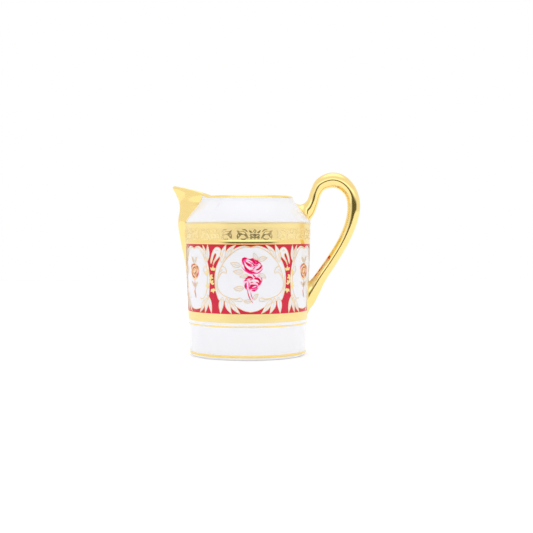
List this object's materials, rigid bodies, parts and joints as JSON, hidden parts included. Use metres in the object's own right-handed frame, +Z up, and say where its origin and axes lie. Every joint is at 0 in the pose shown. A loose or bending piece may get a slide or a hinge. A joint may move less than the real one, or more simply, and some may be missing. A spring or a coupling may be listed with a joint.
{
  "type": "cream jug",
  "caption": "Straight-sided porcelain cream jug with a sloping shoulder, beak spout and high loop handle, gilded and painted in fired-on bands.",
  "frame": {"origin": "centre of the whole jug's footprint on the resting plane; the barrel axis is 11.1 mm from it towards -X", "axes": "+Z up along the barrel, spout towards -X, handle towards +X, Y across the jug"},
  "size_m": [0.1149, 0.0764, 0.1111],
  "materials": {
    "porcelain_glaze": "clear glossy glaze on white hard-paste porcelain",
    "gilded_porcelain": "glazed porcelain fully covered with burnished gold",
    "burnished_gold": "burnished liquid gold, fired on over the glaze",
    "etched_gold": "acid-etched gold: polished relief on a matte ground",
    "crimson_enamel": "crimson overglaze enamel with reserved white panels"
  },
  "bodies": {
    "root": {"jug_body": "porcelain_glaze", "spout": "gilded_porcelain", "handle": "gilded_porcelain", "spout_slip_seam": "gilded_porcelain", "upper_handle_slip_seam": "gilded_porcelain", "lower_handle_slip_seam": "gilded_porcelain", "rim_gilding": "burnished_gold", "gold_frieze_band": "etched_gold", "painted_band": "crimson_enamel", "lower_gold_band": "burnished_gold", "gold_hairline": "burnished_gold", "foot_gold_line": "burnished_gold"}
  },
  "joints": []
}
